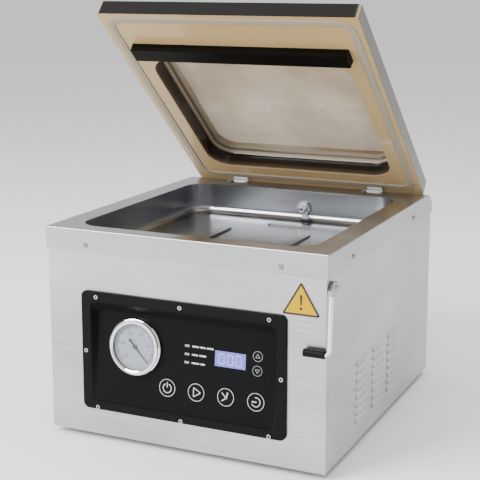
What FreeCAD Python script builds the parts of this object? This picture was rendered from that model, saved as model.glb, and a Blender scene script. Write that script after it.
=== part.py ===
import FreeCAD
import Part
import math
import os
import Sketcher

# Table-top vacuum chamber sealer, millimetres. X to the right, Y to the back, Z up.
# The origin is on the standing surface, under the middle of the deck cover.

os.makedirs("parts", exist_ok=True)
doc = FreeCAD.newDocument("vacuum_chamber_sealer")
sheet = doc.addObject("Spreadsheet::Sheet", "sizes")

DRIVING = {
    # deck cover and housing
    "cover_width": 370, "cover_depth": 418, "flange_height": 28, "cover_sheet": 1.8,
    "body_height": 258, "foot_height": 8, "overhang": 2, "wall": 1.5, "rear_round": 25,
    "edge_round": 1.2, "floor_sheet": 2, "tray_rim": 14,
    # chamber
    "chamber_half": 156, "chamber_front": 23, "chamber_length": 328, "chamber_depth": 42,
    "chamber_corner": 30, "tub_sheet": 1.5, "tub_round": 10, "rib_width": 12, "rib_height": 2.5,
    "port_across": 17, "port_down": 25, "port_hole": 6,
    "louvre_length": 37, "louvre_row": 10.4, "louvre_column": 61, "louvre_lift": 1.9,
    "inlet_across": 120, "inlet_up": 60,
    # control panel
    "panel_width": 271.2, "panel_low": 32.8, "panel_height": 150, "panel_proud": 3,
    "panel_corner": 8, "tray_depth": 19, "recess_half": 123, "recess_low": 43.5,
    "recess_high": 170, "face_half": 119, "face_low": 44, "face_length": 114.5,
    "face_tilt": 5.26, "face_inset": 1.5, "face_sheet": 2,
    "key_radius": 11.6, "key_first": -20, "key_pitch": 38.7, "key_up": 29.5, "key_gap": 0.35,
    "small_key_radius": 6.8, "small_key_across": 96.5, "small_key_up": 66.3, "small_key_pitch": 17.2,
    "display_across": 61.5, "display_up": 74.4, "display_width": 39.5, "display_height": 18.5,
    "led_across": 5, "led_up": 64.3, "led_pitch": 10, "led_width": 6, "led_height": 2.6,
    "gauge_across": -64, "gauge_up": 74.3, "gauge_radius": 35, "gauge_can": 30.5, "dial_radius": 29,
    # lid
    "lid_width": 350, "lid_length": 394, "lid_sheet": 20, "lid_gap": 1.5, "lid_open": 40.9,
    "hinge_back": 187, "hinge_drop": 19, "dome_half": 148, "dome_near": 34, "dome_far": 308,
    "dome_rise": 30, "dome_wall": 8, "dome_corner": 40, "dome_round": 14, "lid_corner": 5,
    "gasket_side": 163, "gasket_near": 18, "gasket_far": 382, "gasket_half": 5, "gasket_corner": 18,
    "gasket_groove": 3, "bar_reach": 322, "bar_half_length": 148.5, "holder_width": 22,
    "holder_height": 6, "strip_width": 22, "strip_height": 5.5,
    "arm_across": 105, "arm_width": 22, "barrel_radius": 8.5, "shaft_radius": 4, "running_gap": 0.05,
    "shaft_half": 150, "slot_gap": 2.5,
    "bolt_back": 5, "needle_rest": 46,
    # seal bar
    "seal_width": 16, "seal_height": 21, "seal_clear": 2, "seal_half_length": 147,
    "lift_across": 110, "lift_rod": 4, "lift_can": 17, "lift_can_height": 44, "lift_travel": 6,
    # hold-down lever
    "lever_back": 13.5, "lever_up": 219.5, "hub_radius": 6, "hub_length": 7, "lever_rod": 2.75,
    "lever_out": 3.2, "grip_radius": 4.75, "grip_length": 29,
    # feet
    "foot_across": 137, "foot_from_edge": 33, "foot_radius": 12,
    # screws
    "screw_head": 3.3, "screw_shank": 1.5, "cover_screw_across": 128, "cover_screw_up": 239,
    "side_screw_first": 82, "side_screw_pitch": 244,
    # inner machinery
    "motor_radius": 52, "motor_length": 118, "pump_width": 112, "pump_depth": 150, "pump_height": 118,
    "shaft_line": 88, "pump_back": 88, "fan_radius": 44,
}


class Size:
    """A length or angle that carries both its number and its sheet expression."""

    def __init__(self, number, text):
        self.number = float(number)
        self.text = text

    def __add__(self, other):
        other = as_size(other)
        return Size(self.number + other.number, f"({self.text} + {other.text})")

    def __sub__(self, other):
        other = as_size(other)
        return Size(self.number - other.number, f"({self.text} - {other.text})")

    def __mul__(self, other):
        other = as_size(other)
        return Size(self.number * other.number, f"({self.text} * {other.text})")

    def __truediv__(self, other):
        other = as_size(other)
        return Size(self.number / other.number, f"({self.text} / {other.text})")

    def __radd__(self, other):
        return as_size(other) + self

    def __rsub__(self, other):
        return as_size(other) - self

    def __rmul__(self, other):
        return as_size(other) * self

    def __neg__(self):
        return Size(-self.number, f"(0 - {self.text})")


def as_size(value):
    if isinstance(value, Size):
        return value
    return Size(value, f"({float(value)!r})")


def fill_sheet():
    """Write every driving dimension to its own cell and return them by name."""
    known = {}
    for row, (alias, number) in enumerate(DRIVING.items(), start=1):
        sheet.set(f"A{row}", alias)
        sheet.set(f"B{row}", str(number))
        sheet.setAlias(f"B{row}", alias)
        known[alias] = Size(number, f"sizes.{alias}")
    return known


class Names:
    """Every driving dimension and every value worked out from them."""


d = Names()
d.__dict__.update(fill_sheet())
doc.recompute()

d.half_width = d.cover_width / 2
d.half_depth = d.cover_depth / 2
d.body_half = d.half_width - d.overhang
d.body_half_depth = d.half_depth - d.overhang
d.deck_top = d.foot_height + d.body_height
d.flange_low = d.deck_top - d.flange_height
d.deck_under = d.deck_top - d.cover_sheet
d.round_y = d.half_depth - d.rear_round
d.round_z = d.deck_top - d.rear_round
d.front = -d.body_half_depth
d.tub_front = d.chamber_front - d.half_depth
d.tub_rear = d.tub_front + d.chamber_length
d.tub_floor = d.deck_top - d.chamber_depth
d.panel_front = d.front - d.panel_proud
d.hinge_y = d.hinge_back
d.hinge_z = d.deck_top - d.hinge_drop
d.lid_under = d.hinge_drop + d.lid_gap
d.seal_y = d.hinge_y - d.bar_reach
d.pivot_y = d.lever_back - d.half_depth
d.pivot_z = d.lever_up + d.foot_height

X = FreeCAD.Vector(1, 0, 0)
Y = FreeCAD.Vector(0, 1, 0)
Z = FreeCAD.Vector(0, 0, 1)
ALONG = {"X": FreeCAD.Rotation(Y, 90), "Y": FreeCAD.Rotation(X, -90), "Z": FreeCAD.Rotation()}


def vector(x, y, z):
    return FreeCAD.Vector(as_size(x).number, as_size(y).number, as_size(z).number)


def bind(thing, name, value):
    thing.setExpression(name, as_size(value).text)


def place(thing, x, y, z, rotation=None):
    """Put an object's own origin at a point, turned if asked."""
    thing.Placement = FreeCAD.Placement(vector(x, y, z), rotation or FreeCAD.Rotation())
    bind(thing, "Placement.Base.x", x)
    bind(thing, "Placement.Base.y", y)
    bind(thing, "Placement.Base.z", z)
    return thing


def label(thing, name):
    thing.Label = name
    return thing


# ---- Part primitives and booleans ----

def block(low_x, high_x, low_y, high_y, low_z, high_z):
    made = doc.addObject("Part::Box", "block")
    bind(made, "Length", as_size(high_x) - low_x)
    bind(made, "Width", as_size(high_y) - low_y)
    bind(made, "Height", as_size(high_z) - low_z)
    return place(made, low_x, low_y, low_z)


def cylinder(x, y, z, radius, height, axis="Z"):
    made = doc.addObject("Part::Cylinder", "cylinder")
    bind(made, "Radius", radius)
    bind(made, "Height", height)
    return place(made, x, y, z, ALONG[axis])


def cone(x, y, z, first, second, height, axis="Z"):
    made = doc.addObject("Part::Cone", "cone")
    bind(made, "Radius1", first)
    bind(made, "Radius2", second)
    bind(made, "Height", height)
    return place(made, x, y, z, ALONG[axis])


def joined(*things):
    if len(things) == 1:
        return things[0]
    made = doc.addObject("Part::MultiFuse", "joined")
    made.Shapes = list(things)
    return made


def without(base, *tools):
    made = doc.addObject("Part::Cut", "trimmed")
    made.Base = base
    made.Tool = joined(*tools)
    return made


def group(name, things):
    """Several separate solids that share one sub-part."""
    made = doc.addObject("Part::Compound", name)
    made.Links = list(things)
    return label(made, name)


def named(thing, name):
    """Give a finished primitive or boolean its own sub-part name."""
    return label(thing, name)


def rounded_edges(base, radius, test):
    """Round the edges of a Part object that pass a test."""
    doc.recompute()
    made = doc.addObject("Part::Fillet", "rounded")
    made.Base = base
    chosen = [n + 1 for n, edge in enumerate(base.Shape.Edges) if test(edge.BoundBox)]
    number = as_size(radius).number
    made.Edges = [(n, number, number) for n in chosen]
    return made


# ---- PartDesign bodies ----

def new_body(name):
    return label(doc.addObject("PartDesign::Body", name), name)


def sketch(body, plane, offset=0):
    made = body.newObject("Sketcher::SketchObject", body.Label + "_sketch")
    role = plane + "_Plane"
    origin_plane = [f for f in body.Origin.OriginFeatures if f.Role == role][0]
    made.AttachmentSupport = [(origin_plane, "")]
    made.MapMode = "FlatFace"
    bind(made, "AttachmentOffset.Base.z", offset)
    return made


def fix(made, kind, element, point, value):
    """Hold one point of a sketch at a distance from the sketch's origin."""
    value = as_size(value)
    index = made.addConstraint(Sketcher.Constraint(kind, -1, 1, element, point, value.number))
    made.setExpression(f"Constraints[{index}]", value.text)


def polygon(made, points):
    """A closed outline with every corner held to the sheet."""
    corners = [vector(u, v, 0) for u, v in points]
    first = made.GeometryCount
    count = len(corners)
    for n in range(count):
        made.addGeometry(Part.LineSegment(corners[n], corners[(n + 1) % count]), False)
    for n in range(count):
        made.addConstraint(
            Sketcher.Constraint("Coincident", first + n, 2, first + (n + 1) % count, 1))
    for n, (u, v) in enumerate(points):
        fix(made, "DistanceX", first + n, 1, u)
        fix(made, "DistanceY", first + n, 1, v)
    return made


def oblong(made, low_u, high_u, low_v, high_v):
    return polygon(made, [(low_u, low_v), (high_u, low_v), (high_u, high_v), (low_u, high_v)])


def rounded_oblong(made, low_u, high_u, low_v, high_v, radius):
    """A rectangle with four equal rounded corners, fully held."""
    low_u, high_u, low_v, high_v, radius = map(as_size, (low_u, high_u, low_v, high_v, radius))
    a, b, c, e, r = (s.number for s in (low_u, high_u, low_v, high_v, radius))
    first = made.GeometryCount
    ends = [((a + r, c), (b - r, c)), ((b, c + r), (b, e - r)),
            ((b - r, e), (a + r, e)), ((a, e - r), (a, c + r))]
    centres = [(b - r, c + r), (b - r, e - r), (a + r, e - r), (a + r, c + r)]
    for start, stop in ends:
        made.addGeometry(Part.LineSegment(vector(*start, 0), vector(*stop, 0)), False)
    for n, centre in enumerate(centres):
        circle = Part.Circle(vector(*centre, 0), Z, r)
        turn = (n - 1) * math.pi / 2
        made.addGeometry(Part.ArcOfCircle(circle, turn, turn + math.pi / 2), False)
    for n in range(4):
        arc = first + 4 + n
        made.addConstraint(Sketcher.Constraint("Tangent", first + n, 2, arc, 1))
        made.addConstraint(Sketcher.Constraint("Tangent", arc, 2, first + (n + 1) % 4, 1))
        direction = "Horizontal" if n % 2 == 0 else "Vertical"
        made.addConstraint(Sketcher.Constraint(direction, first + n))
    for n in range(1, 4):
        made.addConstraint(Sketcher.Constraint("Equal", first + 4, first + 4 + n))
    fix(made, "DistanceY", first, 1, low_v)
    fix(made, "DistanceX", first + 1, 1, high_u)
    fix(made, "DistanceY", first + 2, 1, high_v)
    fix(made, "DistanceX", first + 3, 1, low_u)
    index = made.addConstraint(Sketcher.Constraint("Radius", first + 4, r))
    made.setExpression(f"Constraints[{index}]", radius.text)
    return made


def circle(made, u, v, radius):
    radius = as_size(radius)
    index = made.GeometryCount
    made.addGeometry(Part.Circle(vector(u, v, 0), Z, radius.number), False)
    fix(made, "DistanceX", index, 3, u)
    fix(made, "DistanceY", index, 3, v)
    number = made.addConstraint(Sketcher.Constraint("Radius", index, radius.number))
    made.setExpression(f"Constraints[{number}]", radius.text)
    return made


def pad(body, profile, length, reverse=False):
    made = body.newObject("PartDesign::Pad", body.Label + "_pad")
    made.Profile = profile
    bind(made, "Length", length)
    made.Reversed = reverse
    doc.recompute()
    return made


def pocket(body, profile, length, reverse=False):
    """Cut a pocket and make sure that it removes material."""
    before = body.Shape.Volume
    made = body.newObject("PartDesign::Pocket", body.Label + "_pocket")
    made.Profile = profile
    bind(made, "Length", length)
    made.Reversed = reverse
    doc.recompute()
    if body.Shape.Volume > before - 0.01:
        raise RuntimeError(f"{body.Label}: a pocket removed nothing")
    return made


def revolve(body, profile, axis="V_Axis"):
    made = body.newObject("PartDesign::Revolution", body.Label + "_turned")
    made.Profile = profile
    made.ReferenceAxis = (profile, [axis])
    made.Angle = 360
    doc.recompute()
    return made


def fillet(body, radius, test):
    """Round the edges of a body's last feature that pass a test."""
    base = body.Tip
    chosen = [f"Edge{n + 1}" for n, e in enumerate(base.Shape.Edges) if test(e.BoundBox)]
    if not chosen:
        raise RuntimeError(f"{body.Label}: no edge to round")
    made = body.newObject("PartDesign::Fillet", body.Label + "_fillet")
    made.Base = (base, chosen)
    bind(made, "Radius", radius)
    doc.recompute()
    if "Invalid" in made.State:
        raise RuntimeError(f"{body.Label}: an edge could not be rounded")
    return made


def near(a, b, gap=0.02):
    return abs(a - b) < gap


# ---- housing ----

def side_screw_y(n):
    return d.side_screw_first - d.half_depth + n * d.side_screw_pitch


def screw_holes(body, half, deep):
    """Clearance holes for the cover screws, two in front and two in each side."""
    screw_up = d.foot_height + d.cover_screw_up
    hole = d.screw_shank + 0.2
    front_holes = sketch(body, "XZ", deep + 1)
    for side in (-1, 1):
        circle(front_holes, side * d.cover_screw_across, screw_up, hole)
    pocket(body, front_holes, 5)
    side_holes = sketch(body, "YZ", half + 1)
    for n in range(2):
        circle(side_holes, side_screw_y(n), screw_up, hole)
    pocket(body, side_holes, d.cover_width + 4)


def housing_shell():
    """Front and both sides of the housing, bent from one sheet, open at the rear."""
    body = new_body("housing_sheet")
    shell_top = d.deck_under - 4
    half, deep = d.body_half, d.body_half_depth
    pad(body, oblong(sketch(body, "XY", d.foot_height), -half, half, -deep, deep),
        shell_top - d.foot_height)
    inside = oblong(sketch(body, "XY", shell_top), -half + d.wall, half - d.wall,
                    -deep + d.wall, deep + 5)
    pocket(body, inside, shell_top - d.foot_height)
    fillet(body, d.edge_round, lambda b: b.ZLength > 100 and near(b.YMax, -deep.number)
           and near(abs(b.XMin), half.number))
    rear_notch = oblong(sketch(body, "YZ", -half - 1), d.round_y - 20, deep + 5,
                        d.flange_low + 4, shell_top + 5)
    pocket(body, rear_notch, d.cover_width, reverse=True)
    window = oblong(sketch(body, "XZ", deep + 1), -d.recess_half - 5, d.recess_half + 5,
                    d.foot_height + d.recess_low - 5, d.foot_height + d.recess_high + 5)
    pocket(body, window, 5)
    screw_holes(body, half, deep)
    pivot_hole = circle(sketch(body, "YZ", half + 1), d.pivot_y, d.pivot_z, 2.6)
    pocket(body, pivot_hole, 5)
    return named(with_louvres(body), "housing_shell")


def with_louvres(body):
    """Three columns of eight pressed louvres in the right side."""
    slots, hoods = [], []
    for column in range(3):
        for row in range(8):
            low_y = 105 - d.half_depth + d.louvre_column * column
            low_z = d.foot_height + 26.5 + d.louvre_row * row
            slots.append(block(d.body_half - d.wall - 1, d.body_half + 1, low_y,
                               low_y + d.louvre_length, low_z - 2.4, low_z))
            hoods.append(louvre_hood(low_y, low_z))
    return joined(without(body, *slots), *hoods)


def louvre_hood(low_y, low_z):
    """One louvre: a ramp pressed out of the sheet, open underneath."""
    made = doc.addObject("Part::Wedge", "louvre")
    for end in ("Xmax", "X2max"):
        bind(made, end, d.louvre_length)
    for start in ("Xmin", "X2min", "Ymin", "Zmin", "Z2min"):
        setattr(made, start, 0)
    made.Ymax = 6
    bind(made, "Zmax", d.louvre_lift)
    made.Z2max = 0.2
    return place(made, d.body_half, low_y, low_z, FreeCAD.Rotation(FreeCAD.Vector(1, 1, 1), 120))


def base_plate():
    """Bottom tray with a turned-up rim, foot holes and air slots."""
    body = new_body("base_plate")
    half = d.body_half - d.wall - 0.3
    deep = d.body_half_depth - d.wall - 0.3
    low = d.foot_height
    pad(body, oblong(sketch(body, "XY", low), -half, half, -deep, deep), d.tray_rim)
    inside = oblong(sketch(body, "XY", low + d.tray_rim), -half + 1.5, half - 1.5,
                    -deep + 1.5, deep - 1.5)
    pocket(body, inside, d.tray_rim - d.floor_sheet)
    holes = sketch(body, "XY", low + d.floor_sheet + 1)
    for side in (-1, 1):
        for end in (-1, 1):
            circle(holes, side * d.foot_across, end * foot_y(), 2.7)
    pocket(body, holes, 5)
    for n in range(5):
        air = sketch(body, "XY", low + d.floor_sheet + 1)
        rounded_oblong(air, -40, 40, -150 + 12 * n, -146 + 12 * n, 1.9)
        pocket(body, air, 5)
    return body


def foot_y():
    return d.half_depth - d.foot_from_edge


def rear_panel():
    """Rear wall with a grille and the cut-out for the mains inlet."""
    body = new_body("rear_panel")
    half = d.body_half - d.wall - 0.3
    outer = d.body_half_depth - 0.1
    top = d.flange_low + 4
    rear = sketch(body, "XZ", -outer)
    pad(body, oblong(rear, -half, half, d.foot_height, top), d.wall)
    for n in range(7):
        low_z = d.foot_height + 60 + 10 * n
        slot = rounded_oblong(sketch(body, "XZ", -outer - 1), -150, -60, low_z, low_z + 4, 1.9)
        cut_forward(body, slot)
    inlet = oblong(sketch(body, "XZ", -outer - 1), d.inlet_across - 14, d.inlet_across + 14,
                   d.inlet_up - 10.5, d.inlet_up + 10.5)
    cut_forward(body, inlet)
    return body


def cut_forward(body, profile):
    """Cut from a sketch behind the rear wall, towards the front."""
    return pocket(body, profile, 5, reverse=True)


def deck_cover():
    """Pressed cover: flat deck, turned-down flange, rounded rear and the chamber opening."""
    body = new_body("deck_cover")
    half, deep, sheet_gap = d.half_width, d.half_depth, d.cover_sheet
    top, low, under = d.deck_top, d.flange_low, d.deck_under
    pad(body, oblong(sketch(body, "XY", low), -half, half, -deep, deep), d.flange_height)
    inside = oblong(sketch(body, "XY", low), -half + sheet_gap, half - sheet_gap,
                    -deep + sheet_gap, deep - sheet_gap)
    pocket(body, inside, under - low, reverse=True)
    fillet(body, d.rear_round - sheet_gap, lambda b: near(b.ZMin, under.number)
           and near(b.ZMax, under.number) and near(b.YMin, (deep - sheet_gap).number))
    fillet(body, d.rear_round, lambda b: near(b.ZMin, top.number) and near(b.YMin, deep.number))
    fillet(body, d.edge_round, lambda b: on_cover_edge(b, half.number, deep.number, top.number))
    opening = rounded_oblong(sketch(body, "XY", top + 1), -d.chamber_half, d.chamber_half,
                             d.tub_front, d.tub_rear, d.chamber_corner)
    pocket(body, opening, 5)
    slot = d.arm_width / 2 + d.slot_gap
    for side in (-1, 1):
        middle = side * d.arm_across
        arm_slot = oblong(sketch(body, "XY", top + 1), middle - slot, middle + slot,
                          d.hinge_y - 19, deep + 5)
        pocket(body, arm_slot, d.flange_height - 3)
    screw_holes(body, half, deep)
    return body


def on_cover_edge(box, half, deep, top):
    """True for the top edge round the cover and for its two front corners."""
    side = near(box.XMin, box.XMax) and near(abs(box.XMin), half)
    front = near(box.YMin, box.YMax) and near(box.YMin, -deep)
    along_top = near(box.ZMax, top) and not (box.ZLength > 26)
    corner = side and front
    return corner or (along_top and (side or front))


def chamber_tub():
    """Deep-drawn chamber with rounded corners, floor ribs, lift-rod holes and port hole."""
    body = new_body("chamber_tub")
    half, front, rear = d.chamber_half, d.tub_front, d.tub_rear
    floor, under, sheet_gap = d.tub_floor, d.deck_under, d.tub_sheet
    outer = rounded_oblong(sketch(body, "XY", floor - sheet_gap), -half - sheet_gap, half + sheet_gap,
                           front - sheet_gap, rear + sheet_gap, d.chamber_corner + sheet_gap)
    pad(body, outer, under - floor + sheet_gap)
    rim = rounded_oblong(sketch(body, "XY", under - 2), -half - 12, half + 12, front - 12, rear + 12,
                         d.chamber_corner + 12)
    pad(body, rim, 2)
    inner = rounded_oblong(sketch(body, "XY", under), -half, half, front, rear, d.chamber_corner)
    pocket(body, inner, under - floor)
    fillet(body, d.tub_round, lambda b: b.ZLength < 0.01 and near(b.ZMin, floor.number))
    fillet(body, d.tub_round + sheet_gap, lambda b: b.ZLength < 0.01
           and near(b.ZMin, (floor - sheet_gap).number))
    ribs = sketch(body, "XY", floor - 0.5)
    rib = d.rib_width / 2
    for side in (-1, 1):
        rounded_oblong(ribs, side * 58 - rib, side * 58 + rib, -100, 50, rib - 0.1)
    rounded_oblong(ribs, -18, 104, 87, 99, rib - 0.1)
    pad(body, ribs, d.rib_height + 0.5)
    holes = sketch(body, "XY", floor + 1)
    for side in (-1, 1):
        circle(holes, side * d.lift_across, d.seal_y, d.lift_rod + d.running_gap)
    pocket(body, holes, 5)
    port = circle(sketch(body, "XZ", 2 - rear), d.port_across, d.deck_top - d.port_down, d.port_hole)
    pocket(body, port, 5)
    return body


def domed_screw(x, y, z, axis, inward, shank=6):
    """A low round head on a surface with its shank going in; inward is +1 or -1 along the axis."""
    head_height = 1.6
    head = cone(0, 0, 0, d.screw_head, d.screw_head - 1.1, head_height)
    pin = cylinder(0, 0, -shank, d.screw_shank, shank)
    recess = cylinder(0, 0, 0.8, 1.1, 2)
    made = without(joined(head, pin), recess)
    turn = {"X": FreeCAD.Rotation(Y, -90 * inward), "Y": FreeCAD.Rotation(X, 90 * inward),
            "Z": FreeCAD.Rotation(X, 90 + 90 * inward)}[axis]
    return place(made, x, y, z, turn)


def cover_screws():
    screw_up = d.foot_height + d.cover_screw_up
    made = [domed_screw(side * d.cover_screw_across, -d.half_depth, screw_up, "Y", 1)
            for side in (-1, 1)]
    for side in (-1, 1):
        for n in range(2):
            made.append(domed_screw(side * d.half_width, side_screw_y(n), screw_up, "X", -side))
    return group("cover_screws", made)


def feet():
    """Four rubber feet, wider at the top, with a recess for the screw head."""
    made = []
    for side in (-1, 1):
        for end in (-1, 1):
            x, y = side * d.foot_across, end * foot_y()
            shape = cone(x, y, 0, d.foot_radius - 1.5, d.foot_radius, d.foot_height)
            made.append(without(shape, cylinder(x, y, -1, 5, 4.5), cylinder(x, y, 0, 2.7, 20)))
    return group("rubber_feet", made)


def foot_screws():
    """Pan-head screws through the feet and the base, each with its nut."""
    made = []
    for side in (-1, 1):
        for end in (-1, 1):
            x, y = side * d.foot_across, end * foot_y()
            head = cylinder(x, y, 1, 4.6, 2.4)
            shank = cylinder(x, y, 2, 2.5, d.foot_height + d.floor_sheet + 4)
            nut = doc.addObject("Part::Prism", "nut")
            nut.Polygon = 6
            nut.Circumradius = 4.6
            nut.Height = 4
            place(nut, x, y, d.foot_height + d.floor_sheet)
            made.append(joined(head, shank, nut))
    return group("foot_screws", made)


# ---- control panel ----

FACE_TURN = FreeCAD.Rotation(X, -d.face_tilt.number)
d.face_y = d.panel_front + d.face_inset
d.face_z = d.foot_height + d.face_low


def on_face(made):
    """Carry a piece from the face's own frame (X across, Z up the face, -Y outward) to its place."""
    return place(made, 0, d.face_y, d.face_z, FACE_TURN)


def rounded_wire(low_u, high_u, low_v, high_v, radius):
    """A rounded rectangle in the XZ plane, made from the sheet's numbers."""
    a, b, c, e, r = (as_size(s).number for s in (low_u, high_u, low_v, high_v, radius))
    plain = Part.makeBox(b - a, 1, e - c, FreeCAD.Vector(a, 0, c))
    corners = [edge for edge in plain.Edges if edge.BoundBox.YLength > 0.9]
    solid = plain.makeFillet(r, corners)
    flat = [f for f in solid.Faces if f.BoundBox.YMax < 0.01][0]
    return flat.OuterWire


def recess_cutter():
    """The sloping recess in front of the face and the straight seat behind it."""
    made = doc.addObject("Part::Feature", "recess")
    mouth = rounded_wire(-d.recess_half, d.recess_half, d.foot_height + d.recess_low,
                         d.foot_height + d.recess_high, 7)
    mouth.translate(vector(0, d.panel_front, 0))
    seat = rounded_wire(-d.face_half, d.face_half, 0, d.face_length, 6)
    behind = Part.Face(seat).extrude(FreeCAD.Vector(0, 40, 0))
    carried = FreeCAD.Placement(vector(0, d.face_y, d.face_z), FACE_TURN).toMatrix()
    seat = seat.transformGeometry(carried)
    behind = behind.transformGeometry(carried)
    made.Shape = Part.makeLoft([mouth, seat], True, True).fuse(behind)
    return made


def frame_screw_spots():
    """Where the eight frame screws sit: three above, three below and one on each side."""
    low, high = d.foot_height + 36, d.foot_height + 176
    spots = [(x, z) for z in (low, high) for x in (-114.5, 0, 114.5)]
    return spots + [(side * 129.6, d.foot_height + 107) for side in (-1, 1)]


def panel_frame():
    """Raised bezel with a tray behind it; the recess tapers back to the tilted face."""
    body = new_body("panel_block")
    half = d.panel_width / 2
    low = d.foot_height + d.panel_low
    plate = rounded_oblong(sketch(body, "XZ", -d.panel_front), -half, half, low,
                           low + d.panel_height, d.panel_corner)
    pad(body, plate, d.panel_proud, reverse=True)
    tray = rounded_oblong(sketch(body, "XZ", -d.front), -d.recess_half - 4, d.recess_half + 4,
                          d.foot_height + d.recess_low - 4, d.foot_height + d.recess_high + 4, 7)
    pad(body, tray, d.tray_depth - d.panel_proud, reverse=True)
    fillet(body, 0.8, lambda b: near(b.YMin, d.panel_front.number) and b.YLength < 0.01)
    holes = sketch(body, "XZ", -d.panel_front + 1)
    for x, z in frame_screw_spots():
        circle(holes, x, z, 1.3)
    pocket(body, holes, 3.5)
    return named(without(body, recess_cutter()), "panel_frame")


def frame_screws():
    made = []
    for x, z in frame_screw_spots():
        head = cylinder(0, 0, 0, 2.5, 0.9)
        shank = cylinder(0, 0, -2.2, 1.2, 2.4)
        screw = without(joined(head, shank), cylinder(0, 0, 0.4, 1.1, 2))
        made.append(place(screw, x, d.panel_front, z, FreeCAD.Rotation(X, 90)))
    return group("frame_screws", made)


def key_spots():
    return [(d.key_first + n * d.key_pitch, d.key_up) for n in range(4)]


def small_key_spots():
    return [(d.small_key_across, d.small_key_up + n * d.small_key_pitch) for n in (1, 0)]


def control_face():
    """Dark face plate, tilted back, with openings for the gauge, keys, display and lights."""
    body = new_body("control_face")
    outline = sketch(body, "XZ")
    edge = 0.05
    rounded_oblong(outline, -d.face_half + edge, d.face_half - edge, edge, d.face_length - edge, 5.9)
    circle(outline, d.gauge_across, d.gauge_up, d.gauge_can + 0.5)
    for x, up in key_spots():
        circle(outline, x, up, d.key_radius + d.key_gap)
    for x, up in small_key_spots():
        circle(outline, x, up, d.small_key_radius + d.key_gap)
    window(outline, d.display_across, d.display_up, d.display_width, d.display_height, 0.2)
    for n in range(3):
        window(outline, d.led_across, d.led_up + n * d.led_pitch, d.led_width, d.led_height, 0.15)
    pad(body, outline, d.face_sheet, reverse=True)
    return on_face(body)


def window(outline, x, up, width, height, gap):
    oblong(outline, x - width / 2 - gap, x + width / 2 + gap, up - height / 2 - gap,
           up + height / 2 + gap)


def face_disc(name, x, up, radius):
    """A touch key: a thin disc that lies almost flush in the face."""
    return on_face(group(name, [cylinder(x, -0.15, up, radius, 1.6, "Y")]))


def touch_keys():
    names = ("key_power", "key_start", "key_stop", "key_timer")
    large = [face_disc(name, x, up, d.key_radius) for name, (x, up) in zip(names, key_spots())]
    small = [face_disc(name, x, up, d.small_key_radius)
             for name, (x, up) in zip(("key_up", "key_down"), small_key_spots())]
    return large + small


def face_slab(x, up, width, height, front, back):
    return block(x - width / 2, x + width / 2, front, back, up - height / 2, up + height / 2)


def display_window():
    return on_face(group("display_window", [face_slab(
        d.display_across, d.display_up, d.display_width, d.display_height, 0.1, 1.9)]))


def status_lights():
    lamps = [face_slab(d.led_across, d.led_up + n * d.led_pitch, d.led_width, d.led_height, -0.3, 1.9)
             for n in range(3)]
    return on_face(group("status_lights", lamps))


def circuit_board():
    """Board behind the face with its switches, relays and connector."""
    board = block(-30, 114, 5, 6.6, 8, 107)
    parts = [block(x, x + 15, 6.6, 18, 60, 78) for x in (-20, 2, 24)]
    parts.append(block(50, 90, 6.6, 14, 90, 100))
    parts.append(block(60, 84, 6.6, 12, 40, 64))
    switches = [face_slab(x, up, 6, 6, 2.2, 5) for x, up in key_spots() + small_key_spots()]
    posts = [cylinder(x, 2, up, 2.5, 3, "Y") for x in (-26, 110) for up in (12, 103)]
    return on_face(group("circuit_board", [joined(board, *parts, *switches, *posts)]))


# ---- vacuum gauge ----

def turned(name, points):
    """A ring or disc turned about the gauge's axis from (radius, distance) corners."""
    body = new_body(name)
    profile = sketch(body, "XY")
    polygon(profile, points)
    revolve(body, profile)
    return body


def at_gauge(body):
    """Carry a piece turned about Y to the gauge's centre on the tilted face."""
    tilt = d.face_tilt
    y = d.face_y + d.gauge_up * sine(tilt)
    z = d.face_z + d.gauge_up * cosine(tilt)
    return place(body, d.gauge_across, y, z, FACE_TURN)


def sine(angle):
    return Size(math.sin(math.radians(angle.number)), f"sin({angle.text} * 1deg)")


def cosine(angle):
    return Size(math.cos(math.radians(angle.number)), f"cos({angle.text} * 1deg)")


def gauge_case():
    """Round can behind the face with a shallow well for the dial and a threaded stem."""
    can = d.gauge_can
    return at_gauge(turned("gauge_case", [
        (1.25, -1.5), (can - 1, -1.5), (can - 1, -6.4), (can, -6.4), (can, 24), (7, 24),
        (7, 36), (1.25, 36)]))


def gauge_bezel():
    """Polished ring in front of the face, stepped and rolled in over the glass."""
    ring, can = d.gauge_radius, d.gauge_can
    return at_gauge(turned("gauge_bezel", [
        (ring, 0), (ring, -4.2), (ring - 0.8, -5.2), (ring - 1.8, -5.6),
        (ring - 2.2, -7.2), (ring - 3.2, -8), (ring - 4.4, -8), (ring - 6.2, -7),
        (ring - 6.2, -6.4), (can + 0.05, -6.4), (can + 0.05, 0)]))


def gauge_dial():
    return at_gauge(turned("gauge_dial", [
        (1.6, -1.5), (d.dial_radius, -1.5), (d.dial_radius, -2.3), (1.6, -2.3)]))


def gauge_glass():
    edge = d.gauge_can - 1.05
    body = new_body("gauge_glass")
    pad(body, circle(sketch(body, "XZ", 5.2), 0, 0, edge), 1.2)
    return at_gauge(body)


def gauge_needle():
    """Pointer with a broad tail and a hub; it rests on zero, low on the right."""
    tip, tail = d.dial_radius - 4, 12
    blade_outline = [(-tail, -1.5), (-4, -1.1), (tip, -0.25), (tip, 0.25), (-4, 1.1), (-tail, 1.5)]
    body = new_body("gauge_needle")
    pad(body, polygon(sketch(body, "XZ", 3.2), blade_outline), 0.6)
    pad(body, circle(sketch(body, "XZ", -0.5), 0, 0, 1.2), 4)
    pad(body, circle(sketch(body, "XZ", 2.9), 0, 0, 2.6), 1.6)
    at_gauge(body)
    body.Placement = FreeCAD.Placement(
        body.Placement.Base, FACE_TURN.multiply(FreeCAD.Rotation(Y, d.needle_rest.number)))
    return body


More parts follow.
